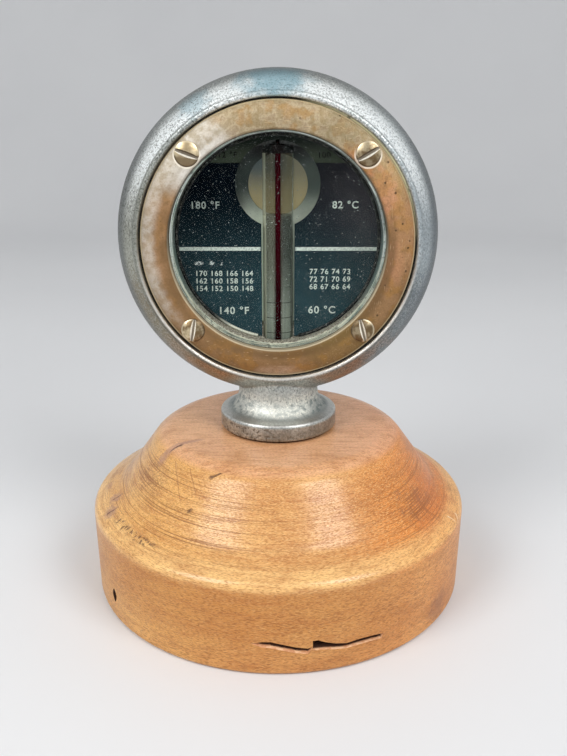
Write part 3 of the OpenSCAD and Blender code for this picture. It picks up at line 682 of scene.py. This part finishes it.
def tube_glass():
    """Thermometer glass: pale enamel along its edges, a milky wall, clear before the bore, marks across."""
    f = Finish("tube_glass")
    side = abs(f.x)
    left = f.fall(f.x, -0.5, 0.5)
    left_edge = f.fall(f.x, -TUBE_R + 0.75, -TUBE_R + 1.05)
    right_edge = f.fade(f.x, TUBE_R - 0.5, TUBE_R - 0.3)
    edge = left_edge | right_edge
    window = f.fade(side, COLUMN_R + 0.05, COLUMN_R + 0.25)
    tint = f.fall(side, COLUMN_R + 0.1, COLUMN_R + 0.8)
    front = f.fall(f.y, -1.4, -1.0)
    back = f.fade(f.y, 1.0, 1.4)
    streak = f.noise(0.8, 4, 3, (1, 1, 14))
    # Painted light: above the window's edge the tube is lighter, as lit through the window behind; below it
    # is darker
    sight = f.fade(f.z, SIGHT_EDGE_Z - 0.2, SIGHT_EDGE_Z + 0.2)
    lower = f.fall(f.z, MARKS_TOP - 8, MARKS_TOP + 14)
    marks = f.fade(abs(f.maths("PINGPONG", f.z - MARK_START, MARK_STEP / 2) - MARK_STEP / 2), 0.16, 0.05)
    marks = marks * front * (1 - edge) * f.fall(f.z, MARKS_TOP, MARKS_TOP + 1)
    milk = front * window * (0.18 + 0.16 * streak + 0.3 * lower + 0.25 * (1 - sight)) + marks * 0.3
    milk = milk + back * (0.35 + 0.45 * (1 - sight))
    milk = milk | edge * (0.85 - 0.35 * sight)
    clear = f.node("ShaderNodeBsdfTransparent", None, {"Color": (0.96, 0.97, 0.94, 1)})
    shade = f.mix(left, (62, 68, 66), (104, 104, 92))
    f.colour = f.mix(sight, shade, (116, 110, 92))
    f.wash(lower, (140, 149, 138))
    f.wash(f.fade(streak, 0.4, 0.65) * (1 - sight) * 0.35, (84, 90, 84))
    f.wash(tint * 0.45, (84, 36, 42))
    rim = f.mix(left, (150, 160, 150), (196, 198, 176))
    f.wash(edge, rim)
    f.wash(f.specks(1.3, 0.12, 5) * 0.6, (206, 212, 206))
    f.wash(marks, (58, 62, 56))
    tip = f.fade(f.z, TUBE_TOP - 0.05, TUBE_TOP + 0.05)
    f.wash(tip, (26, 5, 9))
    milk = milk | tip * 0.95
    body = f.surface(base_color=f.colour, roughness=0.25, specular_ior_level=0.2,
                     normal=f.bump(streak * 0.04))
    return f.done(f.blend(milk, clear, body))


def dial_black():
    """Dark blue-green lacquer with an olive band above and a little dust; painted shade darkens it towards
    the top, and a painted reflection lies on the right.
    """
    f = Finish("dial_black")
    high = f.z - CENTRE_Z
    cloud = f.noise(6, 3)
    fine = f.noise(0.35, 6)
    # Painted shade: lighter low down, darker towards the top under the bezel
    f.colour = f.mix(f.fade(high, -22, 14), (38, 62, 70), (0, 7, 16))
    # Painted reflection on the right
    f.wash(f.fade(f.x, 2, 26) * f.fade(high, -10, 8) * 0.65, (66, 62, 68))
    f.wash(f.fade(cloud, 0.4, 0.7) * 0.35 * (1 - 0.8 * f.fade(high, 2, 16)), (16, 28, 34))
    f.wash(f.fade(fine, 0.45, 0.75) * 0.4 * f.fall(high, -10, 12), (72, 92, 94))
    # The olive band, darkened as painted shade and darker still towards the top
    band = f.fade(high, 18.9, 19.2)
    f.wash(band * 0.9, f.mix(f.fade(high, 20, 25), (66, 74, 62), (34, 40, 36)))
    specks = f.specks(1.9, 0.13, 4) * f.fade(cloud, 0.48, 0.58)
    f.wash(specks * 0.55, (166, 180, 174))
    return f.painted(roughness=0.5 + 0.2 * fine, specular_ior_level=0.03)


def dial_print():
    """Pale printing ink, a little rubbed."""
    f = Finish("dial_print")
    rubbed = f.fade(f.noise(0.5, 2), 0.35, 0.6)
    faded = f.near((-19, DIAL_FACE, CENTRE_Z + 8), 14, (1, 1, 0.4))
    f.colour = f.mix(rubbed, (158, 170, 164), (204, 214, 206))
    f.wash(faded * 0.6, (96, 108, 108))
    return f.painted(roughness=0.6)


def band_print():
    """Dark ink on the olive band."""
    f = Finish("band_print")
    f.colour = f.mix(f.noise(0.5), (2, 4, 4), (12, 14, 12))
    return f.painted(roughness=0.6, specular_ior_level=0.06)


def rear_dial_paint():
    """Grey-green enamel towards the tube, black outside; painted light makes it palest and a little aglow low
    in the sight hole, painted shade darkens it higher up.
    """
    f = Finish("rear_dial_paint")
    cloud = f.noise(4, 5)
    fine = f.noise(0.4, 1)
    # Painted light and shade: palest low in the sight hole, darker above, darkest on the upper left and by
    # the tube's top
    rise = f.fade(f.z, SIGHT_LOW.z - 3, SIGHT_LOW.z + 9)
    grey = f.mix(rise, (255, 255, 244), (60, 74, 70))
    upper_left_shade = f.fall(f.x, -11, -3) * f.fade(f.z, SIGHT_LOW.z - 2, SIGHT_LOW.z + 5)
    grey = f.mix(upper_left_shade * 0.6, grey, (34, 46, 44))
    grey = f.mix(f.fade(f.x, 4, 9) * rise * 0.6, grey, (104, 118, 110))
    grey = f.mix(f.fade(cloud, 0.45, 0.75) * 0.3, grey, (96, 106, 98))
    grey = f.mix(f.fade(f.z, TUBE_TOP - 4, TUBE_TOP + 1), grey, (12, 18, 20))
    black = f.mix(f.fade(cloud, 0.35, 0.7), (16, 22, 24), (38, 46, 46))
    black = f.mix(f.specks(1.6, 0.14, 7) * 0.5, black, (140, 144, 134))
    outside = f.fade(f.y, REAR_DIAL_FACE + 0.2, REAR_DIAL_FACE + 0.5)
    # A painted glow, low in the sight hole and less on the right
    dim = rise | upper_left_shade | outside | f.fade(f.x, -1, 5) * 0.6
    painted_glow = f.mix(dim, (116, 126, 112), (0, 0, 0))
    f.colour = f.mix(outside, grey, black)
    return f.painted(roughness=0.5 + 0.15 * fine, emission_color=painted_glow, emission_strength=1.0)


def cream_window():
    """Yellowed, slightly cloudy window behind the tube, painted a little aglow for the light it would let
    through, and greyed towards the top as painted shade.
    """
    f = Finish("cream_window")
    cloud = f.noise(3, 4)
    # Painted shade: greyer towards the top, less so on the right
    rise = f.fade(f.z, SIGHT_LOW.z + 4, SIGHT_HIGH.z - 4) * (1 - 0.4 * f.fade(f.x, 1, 4))
    f.colour = f.mix(rise, (190, 178, 136), (92, 104, 104))
    f.wash(f.fade(cloud, 0.45, 0.8) * 0.3, (170, 160, 118))
    # A painted glow, strongest low down
    painted_glow = f.mix(rise, (78, 68, 44), (28, 34, 34))
    return f.painted(roughness=0.35 + 0.1 * cloud, emission_color=painted_glow, emission_strength=1.0)


def red_spirit():
    """Dark red spirit."""
    f = Finish("red_spirit")
    streak = f.noise(0.7, 2, 3, (1, 1, 6))
    f.colour = f.mix(streak, (44, 0, 8), (88, 0, 22))
    return f.painted(roughness=0.3 + 0.1 * streak, specular_ior_level=0.04)


def grey_fibre():
    """Layered gasket round the glass: cream and blue-green fibre with dark lines along it."""
    f = Finish("grey_fibre")
    high = f.z - CENTRE_Z
    turn = f.maths("ARCTAN2", high, f.x)
    along = f.node("ShaderNodeCombineXYZ", None, {0: turn * WINDOW_R, 1: f.length(f.x, high), 2: f.y})
    fine = f.noise(0.35, 3, 4)
    layers = f.noise(0.32, 5, 2, (26, 1, 1), along)
    patch = f.noise(3, 6)
    low = f.fade(0 - high, -4, 18)
    f.colour = f.mix(f.fade(fine, 0.3, 0.7), (160, 180, 172), (212, 220, 206))
    f.wash(f.fade(patch, 0.5, 0.7) * 0.5, (112, 160, 150))
    f.wash(low * f.fade(layers, 0.40, 0.52) * 0.75, (255, 250, 226))
    f.wash((1 - low) * f.fade(layers, 0.46, 0.54) * 0.8, (250, 255, 255))
    dirt = f.fade(layers, 0.40, 0.34) | f.fade(f.noise(0.7, 8, 2, (2, 2, 2)), 0.60, 0.68) * 0.7
    f.wash(dirt * 0.75, (64, 70, 60))
    return f.painted(roughness=0.5, normal=f.bump(fine * 0.04 + layers * 0.1))


def clip_wire():
    """Spring wire round the dials: dark as painted shade, faintly mottled, with a painted highlight low on
    the left.
    """
    f = Finish("clip_wire")
    fine = f.noise(0.6, 4)
    lower_left_highlight = f.near((-9, 0, CENTRE_Z - 25), 10, (1, 10, 1), 0.4)
    rubbed = f.fade(fine, 0.5, 0.7) * 0.12 | lower_left_highlight * f.fade(fine, 0.22, 0.4)
    f.colour = f.mix(rubbed, (18, 21, 22), (212, 212, 198))
    return f.painted(metallic=0.6, roughness=0.4 + 0.2 * fine)


def dried_polish():
    """Dirt in the bezel's groove, darkened as painted shade, with pale, yellowish polish on the upper right.
    """
    f = Finish("dried_polish")
    patch = f.noise(2.5, 6)
    fine = f.noise(0.5, 4)
    upper_right = f.near((26, -11, CENTRE_Z + 24), 26, (1, 2, 1), 0.4)
    f.colour = f.mix(f.fade(patch, 0.4, 0.65), (22, 19, 16), (70, 58, 42))
    f.wash(upper_right * f.fade(patch, 0.26, 0.40), (222, 214, 172))
    return f.painted(roughness=0.75 + 0.2 * fine, normal=f.bump(fine * 0.08))


def cork_packing():
    """Granulated cork round the tube."""
    f = Finish("cork_packing")
    grain = f.noise(0.6, 2, 4)
    f.colour = f.mix(f.fade(grain, 0.35, 0.65), (110, 78, 48), (188, 148, 104))
    return f.painted(roughness=0.85, normal=f.bump(grain * 0.15))


def zinc_steel():
    """Plated steel with fine brushing and a few dull patches."""
    f = Finish("zinc_steel")
    brushed = f.noise(0.3, 4, 3, (6, 6, 1))
    patch = f.noise(2.5, 8)
    f.colour = f.mix(f.fade(brushed, 0.3, 0.7), (128, 132, 138), (190, 194, 198))
    f.wash(f.fade(patch, 0.55, 0.75) * 0.5, (96, 88, 76))
    return f.painted(metallic=0.9, roughness=0.3 + 0.2 * patch, normal=f.bump(brushed * 0.03))


def threaded_brass():
    """Brass stem with its thread, darker in the roots as painted shade."""
    f = Finish("threaded_brass")
    pitch = 1.4
    turn = f.maths("ARCTAN2", f.y, f.x) / (2 * math.pi)
    ridge = f.maths("PINGPONG", f.z / pitch + turn, 0.5) * 2
    fine = f.noise(0.5, 5, 4)
    outside = f.fade(f.length(f.x, f.y), STEM_R - 0.4, STEM_R - 0.1)
    f.colour = f.mix(fine, (150, 108, 56), (206, 164, 92))
    # Painted shade in the thread's roots
    f.wash((1 - ridge) * outside * 0.6, (84, 58, 30))
    height = ridge * outside * 0.5 + fine * 0.03
    return f.painted(metallic=0.9, roughness=0.32 + 0.2 * fine, normal=f.bump(height))


def aged_rubber():
    """Dark rubber cushion above the tube, darkened further as painted shade, reddish round the tip."""
    f = Finish("aged_rubber")
    fine = f.noise(0.5, 3)
    tip = f.fall(abs(f.x), 0.9, 1.8)
    f.colour = f.mix(fine, (8, 11, 12), (20, 24, 25))
    f.wash(tip * 0.9, (16, 3, 6))
    return f.painted(roughness=0.7, specular_ior_level=0.2, normal=f.bump(fine * 0.05))


def dark_leather():
    """Leather washer under the foot."""
    f = Finish("dark_leather")
    grain = f.noise(0.5, 7, 4)
    f.colour = f.mix(f.fade(grain, 0.3, 0.7), (44, 28, 18), (92, 60, 38))
    return f.painted(roughness=0.75, normal=f.bump(grain * 0.12))


def pale_floor():
    """Plain pale studio floor."""
    f = Finish("pale_floor")
    cloud = f.noise(160, 1, 2)
    f.colour = f.mix(cloud, (226, 227, 229), (234, 235, 236))
    return f.painted(roughness=0.65)


def rounded(corners, steps, closed=True):
    """Outline points whose corners are (distance from the axis, height, rounding)."""
    points = []
    for i, (across, up, size) in enumerate(corners):
        here = Vector((across, up))
        if not size:
            points.append(here)
            continue
        before = Vector(corners[i - 1][:2])
        after = Vector(corners[(i + 1) % len(corners)][:2])
        back, on = (before - here).normalized(), (after - here).normalized()
        half = back.angle(on) / 2
        middle = here + (back + on).normalized() * size / math.sin(half)
        start = here + back * size / math.tan(half) - middle
        end = here + on * size / math.tan(half) - middle
        points += [middle + start.slerp(end, k / steps) * size for k in range(steps + 1)]
    return points + points[:1] if closed else points


def deselect():
    bpy.ops.object.select_all(action="DESELECT")


def edit(on=True):
    """Goes into edit mode, or out of it."""
    bpy.ops.object.mode_set(mode="EDIT" if on else "OBJECT")


def settle():
    """Makes the active object's place, turn and scale part of its mesh."""
    bpy.ops.object.transform_apply(location=True, rotation=True, scale=True)


def added(name):
    """The object that was just added, with its name."""
    piece = bpy.context.object
    piece.name = name
    return piece


def pick(piece, wanted):
    """Selects the corners of a mesh that pass a test and stays in edit mode."""
    edit()
    bpy.ops.mesh.select_all(action="DESELECT")
    edit(False)
    for vertex in piece.data.vertices:
        vertex.select = wanted(vertex)
    edit()


def trace(name, points):
    """A chain of edges through points in mm, left open in edit mode with all of it selected."""
    start, *others = [Vector(p) * MM for p in points]
    deselect()
    bpy.ops.mesh.primitive_plane_add(size=MM, location=start)
    piece = added(name)
    settle()
    edit()
    bpy.ops.mesh.merge(type="CENTER")
    last = start
    for point in others:
        bpy.ops.mesh.extrude_region_move(TRANSFORM_OT_translate={"value": point - last})
        last = point
    bpy.ops.mesh.select_all(action="SELECT")
    return piece


def close_mesh():
    """Joins seams, turns the faces outwards and leaves edit mode."""
    bpy.ops.mesh.select_all(action="SELECT")
    bpy.ops.mesh.remove_doubles(threshold=SEAM * MM)
    bpy.ops.mesh.normals_make_consistent(inside=False)
    edit(False)


def turned(name, points, steps, centre=(0, 0, 0), axis=(0, 0, 1)):
    """Spins a chain of points in mm once round an axis."""
    piece = trace(name, points)
    bpy.ops.mesh.spin(steps=steps, angle=2 * math.pi, center=Vector(centre) * MM, axis=axis)
    close_mesh()
    return piece


def turned_upright(name, outline, steps):
    return turned(name, [(across, 0, up) for across, up in outline], steps)


def turned_forward(name, outline, steps, side=-1, centre=(0, CENTRE_Z)):
    """An outline spun round an axis along Y; side -1 faces the front, 1 the rear."""
    x, z = centre
    points = [(x + across, side * forward, z) for across, forward in outline]
    return turned(name, points, steps, (x, 0, z), (0, 1, 0))


def modified(piece, name, kind, **settings):
    """Adds a modifier with its settings and applies it."""
    modifier = piece.modifiers.new(name, kind)
    for setting, value in settings.items():
        setattr(modifier, setting, value)
    bpy.context.view_layer.objects.active = piece
    bpy.ops.object.modifier_apply(modifier=modifier.name)


def cut(piece, cutter):
    """Takes one mesh out of another."""
    modified(piece, "cut", "BOOLEAN", object=cutter, operation="DIFFERENCE", solver="EXACT",
             material_mode="TRANSFER" if cutter.data.materials else "INDEX")
    bpy.data.objects.remove(cutter)


def finished(piece, material=None, replaced=()):
    """Smooths a piece, gives it its finish if it has none yet, and sets it on the meter's body."""
    deselect()
    piece.select_set(True)
    bpy.context.view_layer.objects.active = piece
    bpy.ops.object.shade_smooth_by_angle(angle=math.radians(SMOOTH_ANGLE))
    if material:
        piece.data.materials.append(material)
    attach(piece, "meter")
    if replaced:
        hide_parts(*replaced)


def on_side(along, up, radius):
    """A point on the base's side, by its distance round from the front and its height."""
    turn = along / BASE_R
    return radius * math.sin(turn), -radius * math.cos(turn), up


def split_cutter(name, upper, lower, material, deep, flare):
    """A thin wedge for a crack, its edges as (distance round, height), its lower lip broken away by flare."""
    above = BASE_R + SPLIT_OVER
    piece = trace(name, [on_side(along, up, above) for along, up in upper + lower[::-1]])
    bpy.ops.mesh.edge_face_add()
    inward = (BASE_R - deep) / above
    bpy.ops.mesh.extrude_region_move()
    bpy.ops.transform.resize(value=(inward, inward, 1), center_override=(0, 0, 0))
    edit(False)
    outer = [v.index for v in piece.data.vertices if v.co.xy.length > (BASE_R - deep / 2) * MM]
    lip = set(outer[len(upper):])
    pick(piece, lambda vertex: vertex.index in lip)
    bpy.ops.transform.translate(value=(0, 0, -flare * MM))
    close_mesh()
    piece.data.materials.append(material)
    return piece


# Edges of the splits and the hole, as (distance round from the front, height)
LONG_SPLIT_UPPER = [(-6.6, 8.8), (-3.6, 9.5), (-1.7, 9.55), (1.6, 8.75), (4.4, 7.95), (7.2, 7.4), (8.4, 7.7)]
LONG_SPLIT_LOWER = [(-3.6, 8.9), (-1.7, 8.8), (1.6, 8.0), (4.4, 7.25), (7.2, 6.8)]
STEP_SPLIT_UPPER = [(8.4, 9.4), (9.6, 9.45), (11.5, 8.6), (14, 7.8), (16.8, 7.3), (19.9, 7.6), (23.5, 7.5),
                    (26.9, 7.1)]
STEP_SPLIT_LOWER = [(8.4, 7.7), (11.5, 7.5), (14, 7.1), (16.8, 6.75), (19.9, 7.0), (23.5, 6.95), (26.4, 6.7)]
HOLE_UPPER = [(-51.4, 7.1), (-51.0, 8.5), (-50.3, 9.3), (-49.5, 8.6), (-49.0, 7.4)]
HOLE_LOWER = [(-50.8, 5.8), (-50.2, 5.2), (-49.4, 6.2)]


def turned_base(material, bare):
    """The wooden base with its bore, the recess for the nut, two splits and a small hole."""
    bore = STEM_R + STEM_GAP
    piece = turned_upright("turned_base", rounded([
        (bore, BASE_H, BORE_ROUND), (BASE_TOP_R, BASE_H, TOP_ROUND), (COVE_R, COVE_Z, COVE_ROUND),
        (SHOULDER_R, SHOULDER_Z, SHOULDER_ROUND), (BASE_BOTTOM_R, 0, BOTTOM_ROUND),
        (NUT_RECESS_R, 0, RECESS_ROUND), (NUT_RECESS_R, WASHER_Z, 0), (bore, WASHER_Z, 0)],
        steps=10), BASE_STEPS)
    piece.data.materials.append(material)
    cut(piece, split_cutter("long_split", LONG_SPLIT_UPPER, LONG_SPLIT_LOWER, bare, deep=3, flare=1.15))
    cut(piece, split_cutter("step_split", STEP_SPLIT_UPPER, STEP_SPLIT_LOWER, bare, deep=4, flare=1.1))
    cut(piece, split_cutter("hole", HOLE_UPPER, HOLE_LOWER, bare, deep=2, flare=0))
    finished(piece, replaced=["wood_base"])


def bezel_outline():
    """Section of the bezel as (distance from the axis, distance forward)."""
    drop = BEZEL_CROWN - BEZEL_SEAT - BEZEL_EDGE
    reach = BEZEL_R - CROWN_R
    curve = (reach * reach + drop * drop) / (2 * drop)

    def crown(radius):
        return BEZEL_CROWN - curve + math.sqrt(curve ** 2 - (radius - CROWN_R) ** 2)

    inner = WINDOW_R + WINDOW_CHAMFER
    dome = [inner + (BEZEL_R - inner) * k / CROWN_STEPS for k in range(1, CROWN_STEPS)]
    return rounded([
        (WINDOW_R, BEZEL_SEAT, 0), (WINDOW_R, crown(inner) - WINDOW_CHAMFER, WALL_ROUND),
        (inner, crown(inner), CHAMFER_ROUND), *[(radius, crown(radius), 0) for radius in dome],
        (BEZEL_R, BEZEL_SEAT + BEZEL_EDGE, EDGE_ROUND), (BEZEL_R, BEZEL_SEAT, 0)], steps=4)


def groove_polish(material):
    """Old polish and dirt packed in the groove round the front bezel; its dark colour is painted shade."""
    inner, outer = BEZEL_R + POLISH_GAP, BEZEL_R + GROOVE_W - POLISH_GAP
    low, high = BEZEL_SEAT + POLISH_GAP, BEZEL_SEAT + BEZEL_EDGE - POLISH_SUNK
    piece = turned_forward("groove_polish", rounded([
        (inner, low, 0), (inner, high, POLISH_ROUND),
        (outer, high + POLISH_SLOPE, POLISH_ROUND), (outer, low, 0)], steps=3), RING_STEPS)
    finished(piece, material)


def screw_centres():
    """Places of the four bezel screws, from the upper right round to the lower right."""
    for i in range(4):
        turn = math.radians(45 + 90 * i)
        yield SCREW_RING_R * math.cos(turn), CENTRE_Z + SCREW_RING_R * math.sin(turn)


def bezel(side, name, node, material):
    """One domed ring with its four countersunk holes."""
    piece = turned_forward(name, bezel_outline(), RING_STEPS, side)
    hole = SCREW_R + SINK_GAP
    sink = SCREW_HEAD_R + SINK_GAP
    behind, before = BEZEL_SEAT - CUT_BEHIND, BEZEL_CROWN + CUT_OVER
    for i, centre in enumerate(screw_centres()):
        cut(piece, turned_forward(f"sink_{i}", [
            (0, behind), (hole, behind), (hole, SCREW_FACE - sink + hole),
            (sink, SCREW_FACE), (sink, before), (0, before)], SINK_STEPS, side, centre))
    finished(piece, material, [node])


def bezel_screw(brass, bare):
    """An oval-headed screw on the Y axis, its head to the front, with a driver slot along X."""
    ball = (SCREW_HEAD_R ** 2 + SCREW_DOME ** 2) / (2 * SCREW_DOME)
    top = SCREW_FACE + SCREW_DOME
    rim = SCREW_HEAD_R - SCREW_RIM
    steps = [rim * (1 - k / DOME_STEPS) for k in range(DOME_STEPS + 1)]
    dome = [(across, top - ball + math.sqrt(ball ** 2 - across ** 2)) for across in steps]
    piece = turned_forward("screw", [
        (0, SCREW_END), (SCREW_R - SCREW_POINT, SCREW_END), (SCREW_R, SCREW_END + SCREW_POINT),
        (SCREW_R, SCREW_FACE - SCREW_HEAD_R + SCREW_R), (SCREW_HEAD_R, SCREW_FACE), *dome],
        SCREW_STEPS, centre=(0, 0))
    piece.data.materials.append(brass)
    cut(piece, slot_cutter(bare))
    modified(piece, "soft_edges", "BEVEL", width=SLOT_BEVEL * MM, segments=2, limit_method="ANGLE",
             angle_limit=math.radians(SOFT_ANGLE))
    return piece


def slot_cutter(material):
    """A long bar across the screw's head, narrower towards the slot's floor."""
    high = SLOT_DEEP + CUT_OVER
    wide = SLOT_FLOOR_W + (SLOT_W - SLOT_FLOOR_W) * high / SLOT_DEEP
    deselect()
    bpy.ops.mesh.primitive_cube_add(size=1, location=(0, 0, 0))
    piece = added("slot_bar")
    pick(piece, lambda vertex: vertex.co.y > 0)
    bpy.ops.transform.resize(value=(1, 1, SLOT_FLOOR_W / wide), center_override=(0, 0, 0))
    edit(False)
    piece.scale = Vector((4 * SCREW_HEAD_R, high, wide)) * MM
    piece.location = (0, -(SLOT_FLOOR + high / 2) * MM, 0)
    settle()
    piece.data.materials.append(material)
    return piece


def bezel_screws(side, place, node, screw):
    """Copies of the screw in one bezel; side -1 faces the front, 1 the rear."""
    for i, (x, z) in enumerate(screw_centres()):
        copy = screw.copy()
        copy.data = screw.data.copy()
        copy.name = f"{place}_screw_{i + 1}"
        bpy.context.scene.collection.objects.link(copy)
        facing = Matrix.Rotation(math.pi * (side + 1) / 2, 4, "Z")
        turn = Matrix.Rotation(side * math.radians(SLOT_TURNS[i]), 4, "Y")
        copy.data.transform(Matrix.Translation(Vector((x, 0, z)) * MM) @ turn @ facing)
        finished(copy, replaced=[node])


def printed_number(name, words, x, z, height, material):
    """Numbers printed on the dial's face, centred on a place."""
    deselect()
    bpy.ops.object.text_add()
    piece = added(name)
    piece.data.body = words
    piece.data.align_x = "CENTER"
    piece.data.size = height / NUMBER_SHARE * MM
    piece.data.extrude = INK_THICK * MM
    piece.data.offset = INK_SPREAD * height * MM
    piece.data.space_character = NUMBER_GAP
    bpy.ops.object.convert(target="MESH")
    piece.location = (x * MM, (DIAL_FACE - INK_THICK) * MM, z * MM)
    piece.rotation_euler = (math.pi / 2, 0, 0)
    settle()
    finished(piece, material)


def printed_bar(name, start, end, material):
    """A printed line across one half of the dial, between two distances from its middle."""
    deselect()
    place = ((start + end) / 2 * MM, DIAL_FACE * MM, (CENTRE_Z + BAR_RISE) * MM)
    bpy.ops.mesh.primitive_plane_add(size=1, location=place, rotation=(math.pi / 2, 0, 0))
    piece = added(name)
    piece.scale = (abs(end - start) * MM, BAR_THICK * MM, 1)
    settle()
    edit()
    bpy.ops.mesh.extrude_region_move(TRANSFORM_OT_translate={"value": (0, -BAR_RAISED * MM, 0)})
    close_mesh()
    finished(piece, material)


# Numbers on the dial: name, words, middle in mm to the right and above the dial's centre, height
PALE_NUMBERS = [
    ("middle_mark_f", "180 \u00b0F", -18.6, 7.8, 1.75), ("middle_mark_c", "82 \u00b0C", 17.2, 7.9, 1.75),
    ("table_f_1", "170 168 166 164", -14.1, -9.5, 1.35), ("table_c_1", "77 76 74 73", 13.6, -9.0, 1.35),
    ("table_f_2", "162 160 158 156", -14.1, -11.5, 1.35), ("table_c_2", "72 71 70 69", 13.6, -11.0, 1.35),
    ("table_f_3", "154 152 150 148", -14.1, -13.5, 1.35), ("table_c_3", "68 67 66 64", 13.6, -13.0, 1.35),
    ("low_mark_f", "140 \u00b0F", -11.8, -19.7, 1.9), ("low_mark_c", "60 \u00b0C", 11.6, -19.5, 1.9),
]
DARK_NUMBERS = [
    ("high_mark_f", "212 \u00b0F", -13.2, 20.3, 1.4), ("high_mark_c", "100 \u00b0C", 13.2, 20.3, 1.4),
]


def printed_dial():
    """All that is printed on the front dial."""
    pale, dark = dial_print(), band_print()
    for material, numbers in ((pale, PALE_NUMBERS), (dark, DARK_NUMBERS)):
        for name, words, x, rise, height in numbers:
            printed_number(name, words, x, CENTRE_Z + rise, height, material)
    reach = math.sqrt((DIAL_R - BAR_MARGIN) ** 2 - BAR_RISE ** 2)
    slot = TUBE_R + BAR_GAP
    printed_bar("dial_bar_left", -reach, -slot, pale)
    printed_bar("dial_bar_right", slot, reach, pale)


def dress(material, *names):
    """Gives solids of the frame their finish."""
    for name in names:
        nodes[name].data.materials.clear()
        nodes[name].data.materials.append(material)


def dressed_solids():
    """Finishes of the solids that stay as they are."""
    dress(pitted_nickel(), "meter_case")
    dress(dusty_glass(), "front_glass", "rear_glass")
    dress(grey_fibre(), "front_gasket", "rear_gasket")
    dress(dial_black(), "front_dial")
    dress(rear_dial_paint(), "rear_dial")
    dress(clip_wire(), "front_dial_clip", "rear_dial_clip")
    dress(cream_window(), "sight_window")
    dress(tube_glass(), "thermometer_tube")
    dress(red_spirit(), "spirit_column", "bulb_spirit")
    dress(aged_rubber(), "tip_cushion")
    dress(cork_packing(), "tube_packing")
    dress(threaded_brass(), "stem", "bulb_guard")
    dress(dark_leather(), "foot_washer")
    dress(zinc_steel(), "clamp_washer", "lock_washer", "clamp_nut")


def studio():
    """Pale floor that curves up into a backdrop, two soft lamps, and a little light from above."""
    bend = rounded([(0, 0, 0), (FLOOR_R, 0, FLOOR_BEND), (FLOOR_R, BACKDROP_H, 0)], steps=16, closed=False)
    floor = turned_upright("floor", bend, FLOOR_STEPS)
    bpy.ops.object.shade_smooth()
    floor.data.materials.append(pale_floor())
    for name, turn, rise in LAMPS:
        a, e = math.radians(turn), math.radians(rise)
        back = Vector((math.sin(a) * math.cos(e), -math.cos(a) * math.cos(e), math.sin(e)))
        light = bpy.data.lights.new(name, "AREA")
        light.shape = "RECTANGLE"
        light.size = LAMP_WIDE * MM
        light.size_y = LAMP_HIGH * MM
        light.energy = LAMP_POWER
        lamp = bpy.data.objects.new(name, light)
        bpy.context.scene.collection.objects.link(lamp)
        lamp.location = Vector((0, 0, LAMP_AIM_Z)) * MM + back * (LAMP_AWAY * MM)
        lamp.rotation_mode = "QUATERNION"
        lamp.rotation_quaternion = back.to_track_quat("Z", "Y")
    world = bpy.data.worlds.new("studio")
    bpy.context.scene.world = world
    world.use_nodes = True
    background = world.node_tree.nodes["Background"]
    background.inputs["Color"].default_value = (1, 1, 1, 1)
    background.inputs["Strength"].default_value = SKY_POWER


def camera():
    """The view of the photograph: about 200 mm in front of the part, looking down."""
    lens = bpy.data.cameras.new("camera")
    lens.sensor_width = CAMERA_SENSOR
    lens.lens = CAMERA_LENS
    lens.clip_start = CAMERA_NEAR * MM
    view = bpy.data.objects.new("camera", lens)
    bpy.context.scene.collection.objects.link(view)
    view.location = Vector(CAMERA_PLACE) * MM
    view.rotation_euler = (math.radians(90 - CAMERA_DOWN), 0, 0)
    bpy.context.scene.camera = view


bpy.context.scene.view_settings.view_transform = "Standard"
camera()
dressed_solids()
turned_base(varnished_beech(), split_wood())
bezel_finish = worn_bezel_brass()
screw = bezel_screw(screw_brass(), slot_brass())
for side, place in ((-1, "front"), (1, "rear")):
    bezel(side, f"{place}_ring", f"{place}_bezel", bezel_finish)
    bezel_screws(side, place, f"{place}_bezel_screws", screw)
bpy.data.objects.remove(screw)
groove_polish(dried_polish())
printed_dial()
studio()
